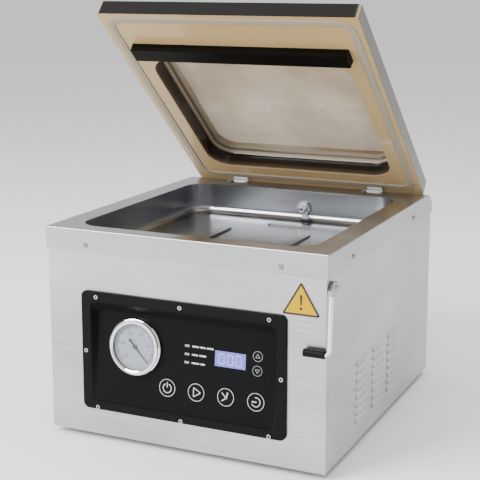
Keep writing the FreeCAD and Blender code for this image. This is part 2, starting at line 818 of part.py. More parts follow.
# ---- lid, modelled closed in the frame of its hinge axis ----

LID_TURN = FreeCAD.Rotation(X, -d.lid_open.number)


def on_lid(made):
    """Carry a piece of the closed lid to its open resting place about the hinge axis."""
    return place(made, 0, d.hinge_y, d.hinge_z, LID_TURN)


def lid_panel():
    """Thick clear lid with a dome, a gasket groove and holes for the hinge bolts."""
    body = new_body("lid_panel")
    under, half, length = d.lid_under, d.lid_width / 2, d.lid_length
    dome, near_edge, far_edge, shell = d.dome_half, -d.dome_near, -d.dome_far, d.dome_wall
    pad(body, rounded_oblong(sketch(body, "XY", under), -half, half, -length, 0, d.lid_corner),
        d.lid_sheet)
    dome_top = under + d.dome_rise + shell
    crown = rounded_oblong(sketch(body, "XY", under + d.lid_sheet), -dome, dome, far_edge, near_edge,
                           d.dome_corner)
    pad(body, crown, dome_top - under - d.lid_sheet)
    fillet(body, d.dome_round, lambda b: near(b.ZMin, dome_top.number) and b.ZLength < 0.01)
    hollow = rounded_oblong(sketch(body, "XY", under), -dome + shell, dome - shell,
                            far_edge + shell, near_edge - shell, d.dome_corner - shell)
    pocket(body, hollow, d.dome_rise, reverse=True)
    fillet(body, d.dome_round, lambda b: b.ZLength < 0.01
           and near(b.ZMin, (under + d.dome_rise).number))
    groove = gasket_outline(sketch(body, "XY", under))
    pocket(body, groove, d.gasket_groove, reverse=True)
    bolts = sketch(body, "XY", under)
    for side in (-1, 1):
        for offset in (-6, 6):
            circle(bolts, side * d.arm_across + offset, -d.bolt_back, 2.2)
    pocket(body, bolts, d.lid_sheet + 1, reverse=True)
    return on_lid(body)


def gasket_outline(made, spare=0):
    """Two rounded rectangles: the groove, or the ring that lies in it."""
    wide = d.gasket_half - spare
    side, near_edge, far_edge, corner = d.gasket_side, d.gasket_near, d.gasket_far, d.gasket_corner
    rounded_oblong(made, -side - wide, side + wide, -far_edge - wide, -near_edge + wide, corner + wide)
    rounded_oblong(made, -side + wide, side - wide, -far_edge + wide, -near_edge - wide, corner - wide)
    return made


def lid_gasket():
    """Silicone ring in the groove, standing a little proud of the lid."""
    body = new_body("lid_gasket")
    proud = d.lid_gap - 0.3
    pad(body, gasket_outline(sketch(body, "XY", d.lid_under - proud), 0.15),
        d.gasket_groove + proud - 0.1)
    fillet(body, 1.6, lambda b: b.ZLength < 0.01 and near(b.ZMin, (d.lid_under - proud).number))
    return on_lid(body)


def bar_block(name, width, low, high, half_length):
    centre = -d.bar_reach
    return on_lid(group(name, [block(-half_length, half_length, centre - width / 2,
                                     centre + width / 2, low, high)]))


def counter_bar():
    """Holder screwed under the lid and the silicone strip that presses on the seal bar."""
    under = d.lid_under
    holder = bar_block("counter_holder", d.holder_width, under - d.holder_height, under,
                       d.bar_half_length)
    strip = bar_block("counter_strip", d.strip_width, under - d.holder_height - d.strip_height,
                      under - d.holder_height, d.bar_half_length - 0.5)
    return [holder, strip]


def hinge_arms():
    """Two arms bolted under the lid, each with a barrel that turns on the shaft."""
    made = []
    half = d.arm_width / 2
    for side in (-1, 1):
        low, high = side * d.arm_across - half, side * d.arm_across + half
        barrel = cylinder(low, 0, 0, d.barrel_radius, d.arm_width, "X")
        web = block(low, high, -7, 4, 0, d.lid_under)
        plate = block(low, high, -12, 4, d.lid_under - 3, d.lid_under)
        bore = cylinder(low - 1, 0, 0, d.shaft_radius + d.running_gap, d.arm_width + 2, "X")
        taps = [cylinder(side * d.arm_across + offset, -d.bolt_back, d.lid_under - 4, 2.15, 6)
                for offset in (-6, 6)]
        made.append(without(joined(barrel, web, plate), bore, *taps))
    return on_lid(group("hinge_arms", made))


def lid_bolts():
    """Dome-head bolts from above the lid into the hinge arms."""
    made = []
    top = d.lid_under + d.lid_sheet
    for side in (-1, 1):
        for offset in (-6, 6):
            x = side * d.arm_across + offset
            head = cone(x, -d.bolt_back, top, 4.2, 2.8, 2.4)
            shank = cylinder(x, -d.bolt_back, d.lid_under - 2.8, 2, d.lid_sheet + 3)
            made.append(joined(head, shank))
    return on_lid(group("lid_bolts", made))


# ---- hinge hardware fixed to the cover ----

def hinge_shaft():
    shaft = cylinder(-d.shaft_half, d.hinge_y, d.hinge_z, d.shaft_radius, d.shaft_half * 2, "X")
    return group("hinge_shaft", [shaft])


def shaft_brackets():
    """Three plates that hang from the deck and hold the shaft."""
    made = []
    for x in (-140, -2.5, 135):
        hanger = block(x, x + 5, d.hinge_y - 16, d.round_y, d.hinge_z - 10, d.deck_under)
        eye = block(x, x + 5, d.hinge_y - 12, d.hinge_y + 9, d.hinge_z - 10, d.hinge_z + 9)
        hole = cylinder(x - 1, d.hinge_y, d.hinge_z, d.shaft_radius + 0.08, 7, "X")
        made.append(without(joined(hanger, eye), hole))
    return group("shaft_brackets", made)


def balance_springs():
    """Two coil springs round the shaft that carry the lid's weight."""
    made = []
    wire, pitch, turns = 1.1, 2.7, 9
    for start in (35, -35 - pitch * turns):
        spring = doc.addObject("Part::Feature", "spring")
        path = Part.makeHelix(pitch, pitch * turns, 6.4)
        ring = Part.Wire(Part.Circle(FreeCAD.Vector(6.4, 0, 0), Y, wire).toShape())
        spring.Shape = Part.Wire(path.Edges).makePipeShell([ring], True, True)
        made.append(place(spring, start, d.hinge_y, d.hinge_z, ALONG["X"]))
    return group("balance_springs", made)


# ---- chamber fittings ----

def hexagon(x, y, z, across, height, axis="Z"):
    """Six-sided nut or head, its size given corner to centre."""
    made = doc.addObject("Part::Prism", "hexagon")
    made.Polygon = 6
    bind(made, "Circumradius", across)
    bind(made, "Height", height)
    return place(made, x, y, z, ALONG[axis])


def vacuum_port():
    """Suction fitting through the chamber's rear wall, with its nut and hose barb."""
    x, z, wall = d.port_across, d.deck_top - d.port_down, d.tub_rear
    washer = cylinder(x, wall - 1, z, d.port_hole + 1, 1, "Y")
    head = hexagon(x, wall - 5.2, z, 10.4, 4.5, "Y")
    dome = cylinder(x, wall - 9.7, z, 6.8, 5, "Y")
    crown = cone(x, wall - 11.7, z, 4, 6.8, 2, "Y")
    shank = cylinder(x, wall, z, d.port_hole - 0.1, 8, "Y")
    nut = hexagon(x, wall + d.tub_sheet, z, 8.6, 5, "Y")
    barb = cylinder(x, wall + 7, z, 4, 14, "Y")
    bore = cylinder(x, wall - 13, z, 2, 40, "Y")
    return named(without(joined(washer, head, dome, crown, shank, nut, barb), bore), "vacuum_port")


def seal_bar():
    """Heated bar that rises from the chamber floor on two rods."""
    half, wide = d.seal_half_length, d.seal_width / 2
    low = d.tub_floor + d.seal_clear
    made = new_body("seal_bar")
    outline = oblong(sketch(made, "XY", low), -half, half, d.seal_y - wide, d.seal_y + wide)
    pad(made, outline, d.seal_height)
    fillet(made, 1, lambda b: b.ZLength > 20 and near(b.XMin, b.XMax))
    return made


def seal_top():
    return d.tub_floor + d.seal_clear + d.seal_height


def heating_element():
    half = d.seal_half_length
    bands = [block(-half + 2, half - 2, d.seal_y + side * 3.6 - 1.6, d.seal_y + side * 3.6 + 1.6,
                   seal_top(), seal_top() + 0.4) for side in (-1, 1)]
    return group("heating_element", bands)


def seal_tape():
    half = d.seal_half_length
    return group("seal_tape", [block(-half + 2.5, half - 2.5, d.seal_y - 7.5, d.seal_y + 7.5,
                                     seal_top() + 0.4, seal_top() + 1)])


def seal_terminals():
    """Brass clamps with screws on both ends of the seal bar."""
    made = []
    for side in (-1, 1):
        near_x, far_x = d.seal_half_length, d.seal_half_length + 3.5
        low, high = (near_x, far_x) if side > 0 else (-far_x, -near_x)
        clamp = block(low, high, d.seal_y - 5, d.seal_y + 5, seal_top() - 15, seal_top() - 3)
        screw_x = far_x if side > 0 else -far_x - 1.6
        screw = cylinder(screw_x, d.seal_y, seal_top() - 9, 3, 1.6, "X")
        made.append(joined(clamp, screw))
    return group("seal_terminals", made)


def lift_rods():
    low = d.tub_floor + d.seal_clear - 26
    return group("lift_rods", [cylinder(side * d.lift_across, d.seal_y, low, d.lift_rod, 26)
                               for side in (-1, 1)])


def lift_cylinders():
    """Two air cylinders under the chamber floor that push the seal bar up."""
    made = []
    top = d.tub_floor - d.tub_sheet
    for side in (-1, 1):
        x = side * d.lift_across
        can = cylinder(x, d.seal_y, top - d.lift_can_height, d.lift_can, d.lift_can_height)
        nipple = cylinder(x, d.seal_y, top - d.lift_can_height - 8, 3, 9)
        bore = cylinder(x, d.seal_y, top - 34, d.lift_rod + d.running_gap, 35)
        made.append(without(joined(can, nipple), bore))
    return group("lift_cylinders", made)


# ---- hold-down lever ----

LEVER_LEAN = 4.24
d.rod_x = d.half_width + d.lever_out
d.rod_top = d.pivot_z - 8.5
d.rod_y = d.pivot_y - 12.5
d.rod_drop = Size(66.7, "(66.7)")
d.grip_y = d.rod_y - d.rod_drop * math.sin(math.radians(LEVER_LEAN))
d.grip_z = d.rod_top - d.rod_drop * math.cos(math.radians(LEVER_LEAN))


def lever_screw():
    """Pivot screw through the right wall with its low head and inner nut."""
    out = d.half_width + 5.45
    shank = cylinder(d.body_half - 7, d.pivot_y, d.pivot_z, 2.5, out - d.body_half + 7, "X")
    head = cone(out, d.pivot_y, d.pivot_z, 4.2, 3.2, 1.9, "X")
    nut = hexagon(d.body_half - d.wall - 4, d.pivot_y, d.pivot_z, 4.6, 4, "X")
    return named(joined(shank, head, nut), "lever_screw")


def lever_hub():
    """Pivot boss with a lug that reaches forward to the rod."""
    body = new_body("lever_hub")
    start = d.body_half + 0.4
    pad(body, circle(sketch(body, "YZ", start), d.pivot_y, d.pivot_z, d.hub_radius), d.hub_length)
    lean = math.tan(math.radians(LEVER_LEAN))
    heel, toe = d.rod_y + 3.5, d.rod_y - 3.5
    lug = [(d.pivot_y - 1, d.pivot_z - 5.6), (heel, d.rod_top - 3.5 * lean),
           (toe, d.rod_top + 3.5 * lean), (toe, d.rod_top + 7), (d.pivot_y - 2, d.pivot_z + 5.5)]
    pad(body, polygon(sketch(body, "YZ", d.half_width + 0.45), lug), 4.95)
    bore = circle(sketch(body, "YZ", start - 1), d.pivot_y, d.pivot_z, 2.5 + d.running_gap)
    pocket(body, bore, d.hub_length + 3, reverse=True)
    return body


def lever_rod():
    """Round rod hanging from the lug and turned inwards at the bottom."""
    body = new_body("lever_rod")
    bend = 6
    reach = d.grip_length - 1
    path = sketch(body, "XZ")
    low = -d.rod_drop
    path.addGeometry(Part.LineSegment(vector(0, 0, 0), vector(0, low + bend, 0)), False)
    corner = Part.Circle(vector(-bend, low + bend, 0), Z, bend)
    path.addGeometry(Part.ArcOfCircle(corner, -math.pi / 2, 0), False)
    path.addGeometry(Part.LineSegment(vector(-bend, low, 0), vector(-reach, low, 0)), False)
    path.addConstraint(Sketcher.Constraint("Coincident", 0, 1, -1, 1))
    path.addConstraint(Sketcher.Constraint("Tangent", 0, 2, 1, 2))
    path.addConstraint(Sketcher.Constraint("Tangent", 1, 1, 2, 1))
    path.addConstraint(Sketcher.Constraint("Vertical", 0))
    path.addConstraint(Sketcher.Constraint("Horizontal", 2))
    path.addConstraint(Sketcher.Constraint("Radius", 1, bend))
    fix(path, "DistanceX", 2, 2, -reach)
    fix(path, "DistanceY", 2, 2, low)
    profile = circle(sketch(body, "XY"), 0, 0, d.lever_rod)
    doc.recompute()
    swept = body.newObject("PartDesign::AdditivePipe", "lever_rod_sweep")
    swept.Profile = profile
    swept.Spine = (path, ["Edge1", "Edge2", "Edge3"])
    doc.recompute()
    return place(body, d.rod_x, d.rod_y, d.rod_top, FreeCAD.Rotation(X, -LEVER_LEAN))


def lever_grip():
    """Black sleeve on the inward end of the rod, rounded at both ends."""
    low = d.rod_x - d.grip_length - 1.7
    sleeve = cylinder(low, d.grip_y, d.grip_z, d.grip_radius, d.grip_length - 2.6, "X")
    bore = cylinder(low + 1.5, d.grip_y, d.grip_z, d.lever_rod + 0.05, d.grip_length, "X")
    soft = rounded_edges(sleeve, 1.4, lambda b: b.XLength < 0.01)
    return named(without(soft, bore), "lever_grip")


# ---- details on the housing ----

def warning_plate():
    """Small triangular plate on the front, right of the control panel."""
    body = new_body("warning_plate")
    low = d.foot_height + 184.5
    corners = [(128.7, low), (175.3, low), (152, low + 40)]
    pad(body, polygon(sketch(body, "XZ", -d.front), corners), 0.4)
    fillet(body, 3, lambda b: near(b.XMin, b.XMax) and near(b.ZMin, b.ZMax))
    return body


def mains_inlet():
    """Three-pin inlet in the rear panel: flange, shroud and pins."""
    x, z, rear = d.inlet_across, d.inlet_up, d.body_half_depth - 0.1
    flange = block(x - 25, x + 25, rear, rear + 2, z - 14, z + 14)
    shroud = block(x - 13.8, x + 13.8, rear - 26, rear + 2, z - 10.3, z + 10.3)
    mouth = block(x - 12, x + 12, rear - 18, rear + 5, z - 8.3, z + 8.3)
    holes = [cylinder(x + side * 20, rear - 2, z, 1.7, 8, "Y") for side in (-1, 1)]
    pins = [block(x + px - 2, x + px + 2, rear - 20, rear - 2, z + pz - 1, z + pz + 1)
            for px, pz in ((-7, -2), (7, -2), (0, 3))]
    tabs = [block(x + px - 3, x + px + 3, rear - 34, rear - 25, z - 0.4, z + 0.4)
            for px in (-8, 0, 8)]
    shell = without(joined(flange, shroud), mouth, *holes)
    return named(joined(shell, *pins, *tabs), "mains_inlet")


# ---- inner machinery ----

def tube(points, bend, outer, inner):
    """A round hose along straight runs joined by equal bends."""
    spots = [vector(*spot) for spot in points]
    edges, start = [], spots[0]
    for n in range(1, len(spots) - 1):
        into = (spots[n] - spots[n - 1]).normalize()
        away = (spots[n + 1] - spots[n]).normalize()
        enter, leave = spots[n] - into * bend, spots[n] + away * bend
        middle = spots[n] + (away - into) * bend * (1 - 1 / math.sqrt(2))
        edges.append(Part.LineSegment(start, enter).toShape())
        edges.append(Part.Arc(enter, middle, leave).toShape())
        start = leave
    edges.append(Part.LineSegment(start, spots[-1]).toShape())
    path = Part.Wire(edges)
    heading = (spots[1] - spots[0]).normalize()
    solids = [path.makePipeShell([Part.Wire(Part.Circle(spots[0], heading, radius).toShape())],
                                 True, False) for radius in (outer, inner)]
    made = doc.addObject("Part::Feature", "tube")
    made.Shape = solids[0].cut(solids[1])
    return made


def pump_body():
    """Rotary vane pump: oil case, valve cover, filter and inlet barb."""
    low_x, low_y, floor = -165, d.pump_back - 48, d.foot_height + d.floor_sheet
    case = block(low_x, low_x + d.pump_width, low_y, low_y + d.pump_depth, floor + 12,
                 floor + 12 + d.pump_height)
    soft = rounded_edges(case, 6, lambda b: b.ZLength > 60)
    ribs = [block(low_x - 3, low_x + 4, low_y + 20 + 18 * n, low_y + 24 + 18 * n, floor + 30,
                  floor + 110) for n in range(6)]
    feet_blocks = [block(low_x + 10 + 70 * n, low_x + 30 + 70 * n, low_y + 10, low_y + 120, floor,
                         floor + 14) for n in range(2)]
    top = floor + 12 + d.pump_height
    filler = cylinder(-130, low_y + 40, top - 1, 11, 12)
    inlet = cylinder(-100, d.hose_back, top - 1, 4, 13)
    return named(joined(soft, *ribs, *feet_blocks, filler, inlet), "pump_body")


def pump_motor():
    """Ribbed motor beside the pump, on a cradle, with the shaft that carries the fan."""
    y, z = d.pump_back, d.shaft_line + 4
    barrel = cylinder(-53, y, z, d.motor_radius, d.motor_length, "X")
    fins = [cylinder(-40 + 14 * n, y, z, d.motor_radius + 2, 4, "X") for n in range(7)]
    cradle = block(-40, 50, y - 34, y + 34, d.foot_height + d.floor_sheet, z - 30)
    shaft = cylinder(-53, y, z, 4, d.motor_length + 22, "X")
    box = block(-30, 20, y - 22, y + 22, z + d.motor_radius - 6, z + d.motor_radius + 16)
    return named(joined(barrel, *fins, cradle, shaft, box), "pump_motor")


def motor_fan():
    """Seven flat blades round a hub that runs on the motor shaft."""
    y, z, start = d.pump_back, d.shaft_line + 4, -53 + d.motor_length + 4
    hub = cylinder(start, y, z, 13, 12, "X")
    blades = []
    for n in range(7):
        blade = doc.addObject("Part::Box", "blade")
        bind(blade, "Length", 9)
        bind(blade, "Width", 2)
        bind(blade, "Height", d.fan_radius - 12)
        turn = FreeCAD.Rotation(X, 360 / 7 * n)
        offset = turn.multVec(FreeCAD.Vector(0, -1, 12))
        place(blade, start + 1.5, y + offset.y, z + offset.z, turn)
        blades.append(blade)
    bore = cylinder(start - 1, y, z, 4 + d.running_gap, 14, "X")
    return named(without(joined(hub, *blades), bore), "motor_fan")


def fan_cover():
    """Open-ended drum round the fan with a spider of bars across its end."""
    y, z, start = d.pump_back, d.shaft_line + 4, -53 + d.motor_length
    drum = cylinder(start, y, z, d.fan_radius + 6, 26, "X")
    hollow = cylinder(start - 1, y, z, d.fan_radius + 4, 24.5, "X")
    ports = [block(start + 20, start + 30, y + px - 5, y + px + 5, z - 36, z + 36)
             for px in (-24, -10, 10, 24)]
    return named(without(drum, hollow, *ports), "fan_cover")


def transformer():
    """Laminated core with its winding, on the base plate."""
    low = d.foot_height + d.floor_sheet
    core = block(-155, -85, -150, -90, low, low + 62)
    winding = block(-145, -95, -162, -78, low + 12, low + 50)
    return named(rounded_edges(joined(core, winding), 2, lambda b: b.ZLength > 30), "transformer")


def solenoid_valves():
    """Three valves on a manifold that stands on a bracket."""
    low = d.foot_height + d.floor_sheet
    stand = block(112, 162, 40, 130, low, low + 40)
    hollow = block(100, 158, 44, 126, low + 3, low + 37)
    manifold = block(118, 158, 44, 126, low + 40, low + 58)
    coils = [cylinder(138, 58 + 27 * n, low + 58, 11, 34) for n in range(3)]
    ports = [cylinder(138, 58 + 27 * n, low + 92, 4, 8) for n in range(3)]
    return named(joined(without(stand, hollow), manifold, *coils, *ports), "solenoid_valves")


def vacuum_hose():
    """Hose from the port's barb, round behind the chamber and down to the pump."""
    x, z, top = d.port_across, d.deck_top - d.port_down, d.foot_height + d.floor_sheet + 12 + d.pump_height
    run = [(x, d.tub_rear + 9, z), (x, d.hose_back, z), (x, d.hose_back, top + 50),
           (-100, d.hose_back, top + 50), (-100, d.hose_back, top + 1)]
    return label(tube(run, 12, 5.5, 4.05), "vacuum_hose")


def gauge_tube():
    """Thin tube from the gauge's stem up to the chamber floor."""
    sin_tilt, cos_tilt = sine(d.face_tilt), cosine(d.face_tilt)
    y = d.face_y + 36 * cos_tilt + d.gauge_up * sin_tilt
    z = d.face_z - 36 * sin_tilt + d.gauge_up * cos_tilt
    run = [(d.gauge_across, y + 0.3, z), (d.gauge_across, y + 20, z),
           (d.gauge_across, y + 20, d.tub_floor - d.tub_sheet)]
    return label(tube(run, 8, 2.5, 1.2), "gauge_tube")


def power_board():
    """Supply board with relays and a finned heat sink on four posts."""
    low = d.foot_height + d.floor_sheet
    board = block(50, 160, -160, -60, low + 10, low + 11.6)
    posts = [cylinder(x, y, low, 3, 10) for x in (56, 154) for y in (-154, -66)]
    relays = [block(60 + 24 * n, 78 + 24 * n, -150, -122, low + 11.6, low + 28) for n in range(4)]
    sink = block(60, 150, -80, -68, low + 11.6, low + 40)
    caps = [cylinder(72 + 22 * n, -102, low + 11.6, 8, 26) for n in range(3)]
    return named(joined(board, *posts, *relays, sink, *caps), "power_board")


# ---- everything together ----

d.hose_back = d.tub_rear + 32

parts = [
    housing_shell(), base_plate(), rear_panel(), deck_cover(), chamber_tub(), cover_screws(),
    feet(), foot_screws(),
    panel_frame(), frame_screws(), control_face(), *touch_keys(), display_window(),
    status_lights(), circuit_board(),
    gauge_case(), gauge_bezel(), gauge_dial(), gauge_glass(), gauge_needle(),
    lid_panel(), lid_gasket(), *counter_bar(), hinge_arms(), lid_bolts(),
    hinge_shaft(), shaft_brackets(), balance_springs(),
    vacuum_port(), seal_bar(), heating_element(), seal_tape(), seal_terminals(), lift_rods(),
    lift_cylinders(),
    lever_screw(), lever_hub(), lever_rod(), lever_grip(),
    warning_plate(), mains_inlet(),
    pump_body(), pump_motor(), motor_fan(), fan_cover(), transformer(), solenoid_valves(),
    vacuum_hose(), gauge_tube(), power_board(),
]
doc.recompute()

for thing in doc.Objects:
    if "Invalid" in thing.State or "Error" in thing.State:
        raise RuntimeError(f"{thing.Label} did not recompute: {thing.State}")
for made in parts:
    if made.Shape.isNull() or not made.Shape.isValid():
        raise RuntimeError(f"{made.Label} is not a valid shape")
    if not made.Shape.Solids:
        raise RuntimeError(f"{made.Label} has no solid")
for made in parts:
    made.Shape.exportStep(f"parts/{made.Label}.step")
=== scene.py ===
import math

import bpy
from mathutils import Matrix, Vector


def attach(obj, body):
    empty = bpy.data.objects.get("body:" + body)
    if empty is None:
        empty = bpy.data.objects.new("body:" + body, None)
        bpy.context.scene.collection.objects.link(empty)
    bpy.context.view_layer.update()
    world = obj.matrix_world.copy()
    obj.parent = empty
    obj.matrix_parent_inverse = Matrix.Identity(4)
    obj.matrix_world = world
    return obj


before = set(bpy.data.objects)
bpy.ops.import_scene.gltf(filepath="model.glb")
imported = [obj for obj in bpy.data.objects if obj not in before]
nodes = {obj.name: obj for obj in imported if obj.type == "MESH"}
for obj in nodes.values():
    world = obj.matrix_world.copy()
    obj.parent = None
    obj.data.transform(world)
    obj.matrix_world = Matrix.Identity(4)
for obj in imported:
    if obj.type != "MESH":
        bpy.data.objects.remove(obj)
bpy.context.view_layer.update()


# ---- shader graphs ----

class Graph:
    """A material's node graph around one Principled shader."""

    def __init__(self, name, color, roughness, metallic=0.0, **inputs):
        self.material = bpy.data.materials.new(name)
        self.material.use_nodes = True
        self.tree = self.material.node_tree
        self.shader = next(n for n in self.tree.nodes if n.type == "BSDF_PRINCIPLED")
        self.set("Base Color", (*color, 1.0))
        self.set("Roughness", roughness)
        self.set("Metallic", metallic)
        for key, value in inputs.items():
            self.set(key.replace("_", " "), value)
        self.material.diffuse_color = (*color, 1.0)

    def set(self, socket, value):
        target = self.shader.inputs[socket]
        if isinstance(value, bpy.types.NodeSocket):
            self.tree.links.new(value, target)
        else:
            target.default_value = value

    def node(self, kind, **settings):
        made = self.tree.nodes.new(kind)
        for key, value in settings.items():
            setattr(made, key, value)
        return made

    def link(self, source, target):
        if isinstance(source, bpy.types.NodeSocket):
            self.tree.links.new(source, target)
        else:
            target.default_value = source

    def place(self, scale=(1, 1, 1), location=(0, 0, 0), rotation=(0, 0, 0)):
        """Position on the object at rest, scaled, turned and moved."""
        where = self.node("ShaderNodeTexCoord")
        mapping = self.node("ShaderNodeMapping")
        mapping.inputs["Scale"].default_value = scale
        mapping.inputs["Location"].default_value = location
        mapping.inputs["Rotation"].default_value = rotation
        self.tree.links.new(where.outputs["Object"], mapping.inputs["Vector"])
        return mapping.outputs["Vector"]

    def noise(self, scale, detail=3.0, stretch=(1, 1, 1)):
        made = self.node("ShaderNodeTexNoise")
        made.inputs["Scale"].default_value = scale
        made.inputs["Detail"].default_value = detail
        self.tree.links.new(self.place(stretch), made.inputs["Vector"])
        return made.outputs["Fac"]

    def math(self, operation, first, second=0.0, third=0.0):
        made = self.node("ShaderNodeMath", operation=operation)
        for socket, value in zip(made.inputs, (first, second, third)):
            self.link(value, socket)
        return made.outputs[0]

    def ramp(self, factor, stops):
        """A smooth run of grey levels or colours over a factor from 0 to 1."""
        made = self.node("ShaderNodeValToRGB")
        band = made.color_ramp
        while len(band.elements) < len(stops):
            band.elements.new(0.5)
        for element, (position, value) in zip(band.elements, stops):
            element.position = position
            colour = value if isinstance(value, tuple) else (value, value, value)
            element.color = (*colour, 1.0)
        self.link(factor, made.inputs["Fac"])
        return made.outputs["Color"]

    def spread(self, value, low, high, first=0.0, second=1.0):
        """Maps a value from one range to another, held at the ends."""
        made = self.node("ShaderNodeMapRange")
        for name, number in (("From Min", low), ("From Max", high), ("To Min", first),
                             ("To Max", second)):
            made.inputs[name].default_value = number
        self.link(value, made.inputs["Value"])
        return made.outputs["Result"]

    def mix(self, factor, first, second):
        made = self.node("ShaderNodeMix", data_type="RGBA")
        sockets = [s for s in made.inputs if s.enabled]
        self.link(factor, sockets[0])
        for value, socket in ((first, sockets[1]), (second, sockets[2])):
            self.link(value if isinstance(value, bpy.types.NodeSocket) else (*value, 1.0), socket)
        return [s for s in made.outputs if s.enabled][0]

    def bump(self, height, strength, distance=0.0002):
        made = self.node("ShaderNodeBump")
        made.inputs["Strength"].default_value = strength
        made.inputs["Distance"].default_value = distance
        self.link(height, made.inputs["Height"])
        self.set("Normal", made.outputs["Normal"])

    def axes(self, vector):
        made = self.node("ShaderNodeSeparateXYZ")
        self.tree.links.new(vector, made.inputs[0])
        return made.outputs


def plain(name, color, roughness, metallic=0.0, speckle=0.06, **inputs):
    """A uniform finish with slight wear in its gloss."""
    made = Graph(name, color, roughness, metallic, **inputs)
    wear = made.noise(180.0)
    made.set("Roughness", made.spread(wear, 0.3, 0.7, roughness - speckle / 2, roughness + speckle / 2))
    return made.material


def brushed(name, low, high, roughness, stretch, metallic=1.0):
    """Brushed steel: fine streaks along the axis with the smallest stretch."""
    made = Graph(name, high, roughness, metallic)
    streaks = made.noise(60.0, 6.0, stretch)
    clouds = made.noise(7.0, 2.0)
    tone = made.math("MULTIPLY_ADD", streaks, 0.55, made.math("MULTIPLY", clouds, 0.45))
    made.set("Base Color", made.ramp(tone, [(0.3, low), (0.7, high)]))
    made.set("Roughness", made.spread(streaks, 0.3, 0.7, roughness - 0.07, roughness + 0.07))
    made.bump(streaks, 0.18, 0.00005)
    return made.material


def sheet_steel(name, low, high, roughness):
    """Stainless sheet: fine grain along the width over soft clouds, the same on every face."""
    made = Graph(name, high, roughness, 1.0)
    streaks = made.noise(30.0, 8.0, (0.5, 0.5, 40))
    clouds = made.noise(3.5, 2.0, (1, 1, 2.5))
    grain = made.math("MULTIPLY_ADD", clouds, 0.5, made.math("MULTIPLY", streaks, 0.5))
    made.set("Base Color", made.ramp(grain, [(0.35, low), (0.65, high)]))
    made.set("Roughness", made.spread(streaks, 0.3, 0.7, roughness - 0.06, roughness + 0.06))
    made.bump(streaks, 0.2, 0.00006)
    return made.material


def steel_tub():
    """Drawn chamber: smooth satin with soft clouds."""
    made = Graph("tub_steel", (0.5, 0.5, 0.5), 0.26, 1.0)
    clouds = made.noise(6.0, 1.0)
    fine = made.noise(120.0, 4.0, (0.5, 6, 6))
    made.set("Base Color", made.ramp(clouds, [(0.35, (0.26, 0.267, 0.28)), (0.65, (0.42, 0.43, 0.45))]))
    made.set("Roughness", made.spread(clouds, 0.3, 0.7, 0.2, 0.26))
    made.bump(fine, 0.01, 0.00001)
    return made.material


LID_OPEN = math.radians(40.9)
HINGE = Vector((0.0, 0.187, 0.247))

# In the closed lid's frame, metres from the hinge line.
DOME_MIDDLE = 0.171
LID_FRONT, LID_RIGHT = -0.3935, 0.1745
RECESS_FLOOR, SLAB_TOP = 0.0207, 0.0402
CROWN_LOW, CROWN_HIGH, CROWN_TOP = 0.0499, 0.0503, 0.0506
PANE_OPEN = 0.42


def lid_tinted():
    """Smoke-tinted lid: tan slab with painted shade that darkens it towards its front edge, black front
    edge, dark thick dome wall with painted highlight lines, and see-through dome top.
    """
    made = Graph("tinted_lid", (0.5, 0.42, 0.32), 0.12, 0.0, Specular_IOR_Level=0.12,
                 Coat_Weight=0.3, Coat_Roughness=0.03)
    turned = Matrix.Rotation(LID_OPEN, 4, "X") @ -HINGE
    local = made.place(rotation=(LID_OPEN, 0, 0), location=turned)
    x, y, z = list(made.axes(local))[:3]
    swirl = made.noise(9.0, 3.0)
    pale = made.ramp(swirl, [(0.35, (0.55, 0.38, 0.20)), (0.5, (0.78, 0.58, 0.35)),
                             (0.66, (0.98, 0.84, 0.60))])
    # Painted shade: the tan slab grows slightly darker towards the lid's front edge.
    tan = made.ramp(made.spread(y, -0.394, 0.0), [(0.0, (0.46, 0.315, 0.145)), (1.0, (0.5, 0.355, 0.175))])
    # Dome wall: the dark stops are the thick tinted plastic; the lighter stops are painted highlight lines
    # on it.
    wall = made.ramp(made.spread(z, 0.0205, 0.0535), [
        (0.0, (0.35, 0.27, 0.18)), (0.08, (0.06, 0.04, 0.022)), (0.3, (0.008, 0.006, 0.004)),
        (0.62, (0.012, 0.009, 0.006)), (0.72, (0.5, 0.40, 0.27)), (0.8, (0.08, 0.06, 0.035)),
        (0.92, (0.6, 0.49, 0.36)), (1.0, (0.68, 0.56, 0.42))])
    across = made.math("ABSOLUTE", x)
    along = made.math("ABSOLUTE", made.math("ADD", y, DOME_MIDDLE))

    def oblong(half_x, half_y, corner):
        """1 inside a rounded rectangle about the dome's middle."""
        dx = made.math("MAXIMUM", made.math("SUBTRACT", across, half_x - corner), 0.0)
        dy = made.math("MAXIMUM", made.math("SUBTRACT", along, half_y - corner), 0.0)
        far = made.math("ADD", made.math("MULTIPLY", dx, dx), made.math("MULTIPLY", dy, dy))
        return made.math("LESS_THAN", far, corner * corner)

    below_top = made.math("LESS_THAN", z, CROWN_TOP)
    above_face = made.math("GREATER_THAN", z, RECESS_FLOOR)
    recess = made.math("MULTIPLY", oblong(0.1405, 0.1295, 0.033),
                       made.math("MULTIPLY", below_top, above_face))
    crown = made.spread(z, CROWN_LOW, CROWN_HIGH)
    hollow = made.mix(crown, wall, pale)
    base = made.mix(recess, tan, hollow)
    upper = made.math("MULTIPLY", made.math("GREATER_THAN", z, SLAB_TOP),
                      made.math("SUBTRACT", 1.0, recess))
    base = made.mix(upper, base, (0.34, 0.24, 0.13))
    front = made.math("LESS_THAN", y, LID_FRONT)
    base = made.mix(front, base, (0.010, 0.009, 0.008))
    right = made.math("GREATER_THAN", x, LID_RIGHT)
    base = made.mix(right, base, (0.155, 0.15, 0.14))
    made.set("Base Color", base)
    pane = made.math("MULTIPLY", oblong(0.134, 0.123, 0.027), made.math("GREATER_THAN", z, CROWN_LOW))
    made.set("Alpha", made.math("SUBTRACT", 1.0, made.math("MULTIPLY", pane, PANE_OPEN)))
    return made.material


def warning_face():
    """Plain yellow plate; its border and sign are separate prints."""
    return plain("warning_yellow", (0.6, 0.36, 0.0), 0.5, Specular_IOR_Level=0.0)


DULL = {"Specular_IOR_Level": 0.04}


